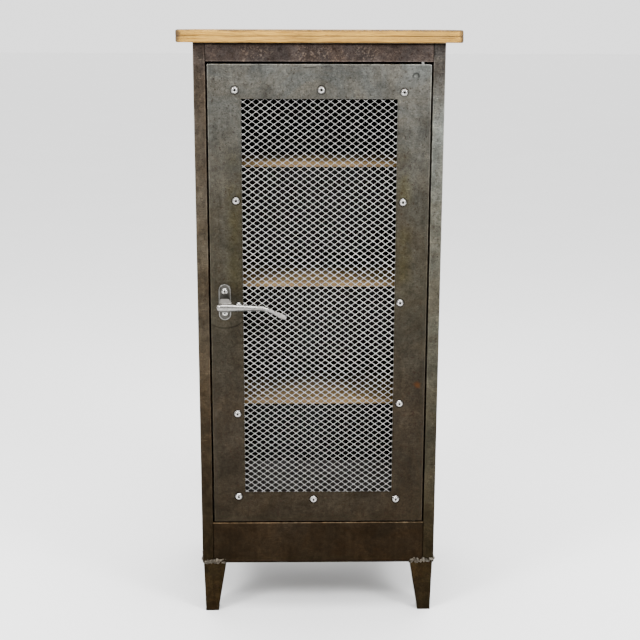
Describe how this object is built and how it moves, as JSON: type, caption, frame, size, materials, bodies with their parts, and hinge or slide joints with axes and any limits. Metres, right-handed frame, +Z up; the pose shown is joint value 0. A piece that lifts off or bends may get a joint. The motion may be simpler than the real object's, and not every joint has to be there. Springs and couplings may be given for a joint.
{
  "type": "locker cabinet",
  "caption": "Tall steel locker cabinet on tapered legs with a wooden top, wooden shelves and one side-hung door with a mesh window and a lever handle.",
  "frame": {"origin": "on the floor, at the centre of the overall footprint", "axes": "+Z up; the door faces -Y; +X is to the right seen from the front"},
  "size_m": [0.57, 0.4626, 1.2535],
  "materials": {
    "body_steel": "waxed bare steel, brown and blotchy, satin",
    "door_steel": "waxed bare steel, grey with rust-brown patches, satin",
    "mesh_steel": "bright expanded steel",
    "weld": "rough weld metal",
    "zinc": "bright zinc plate",
    "worn_nickel": "cast and hand polished, worn",
    "top_wood": "oiled pine, satin",
    "shelf_wood": "oiled board, satin"
  },
  "bodies": {
    "cabinet": {"left_stile": "body_steel", "right_stile": "body_steel", "top_rail": "body_steel", "bottom_rail": "body_steel", "left_side_panel": "body_steel", "right_side_panel": "body_steel", "back_panel": "body_steel", "left_rear_post": "body_steel", "right_rear_post": "body_steel", "base_panel": "body_steel", "floor_panel": "body_steel", "top_panel": "body_steel", "front_left_leg": "body_steel", "front_right_leg": "body_steel", "rear_left_leg": "body_steel", "rear_right_leg": "body_steel", "foot_caps": "body_steel", "door_stop_tabs": "body_steel", "runner_upper_left": "body_steel", "runner_upper_right": "body_steel", "runner_middle_left": "body_steel", "runner_middle_right": "body_steel", "runner_lower_left": "body_steel", "runner_lower_right": "body_steel", "leg_weld_beads": "weld", "back_rivets": "zinc", "top_screws": "zinc", "shelf_screws": "zinc", "upper_pivot_pin": "zinc", "lower_pivot_pin": "zinc", "thrust_washer": "zinc", "top_board_upper": "top_wood", "top_board_lower": "top_wood", "shelf_upper": "shelf_wood", "shelf_middle": "shelf_wood", "shelf_lower": "shelf_wood"},
    "door": {"door_panel": "door_steel", "door_mesh": "mesh_steel", "left_clamp_bar": "door_steel", "right_clamp_bar": "door_steel", "top_clamp_bar": "door_steel", "bottom_clamp_bar": "door_steel", "mesh_screws": "zinc", "mesh_nuts": "zinc", "handle_plate": "worn_nickel", "handle_plate_screws": "worn_nickel", "handle_plate_nuts": "zinc", "spindle_bush": "door_steel", "upper_pivot_bush": "door_steel", "lower_pivot_bush": "door_steel"},
    "handle": {"lever_handle": "worn_nickel", "spindle": "zinc", "latch_tongue": "zinc", "tongue_nut": "zinc"}
  },
  "joints": [
    {"name": "door_hinge", "type": "hinge", "parent": "cabinet", "child": "door", "pos_m": [0.208, -0.16575, 0], "axis": [0, 0, 1], "range_deg": [0, 120]},
    {"name": "handle_turn", "type": "hinge", "parent": "door", "child": "handle", "pos_m": [-0.196, -0.17475, 0.7], "axis": [0, 1, 0], "range_deg": [0, 90]}
  ]
}
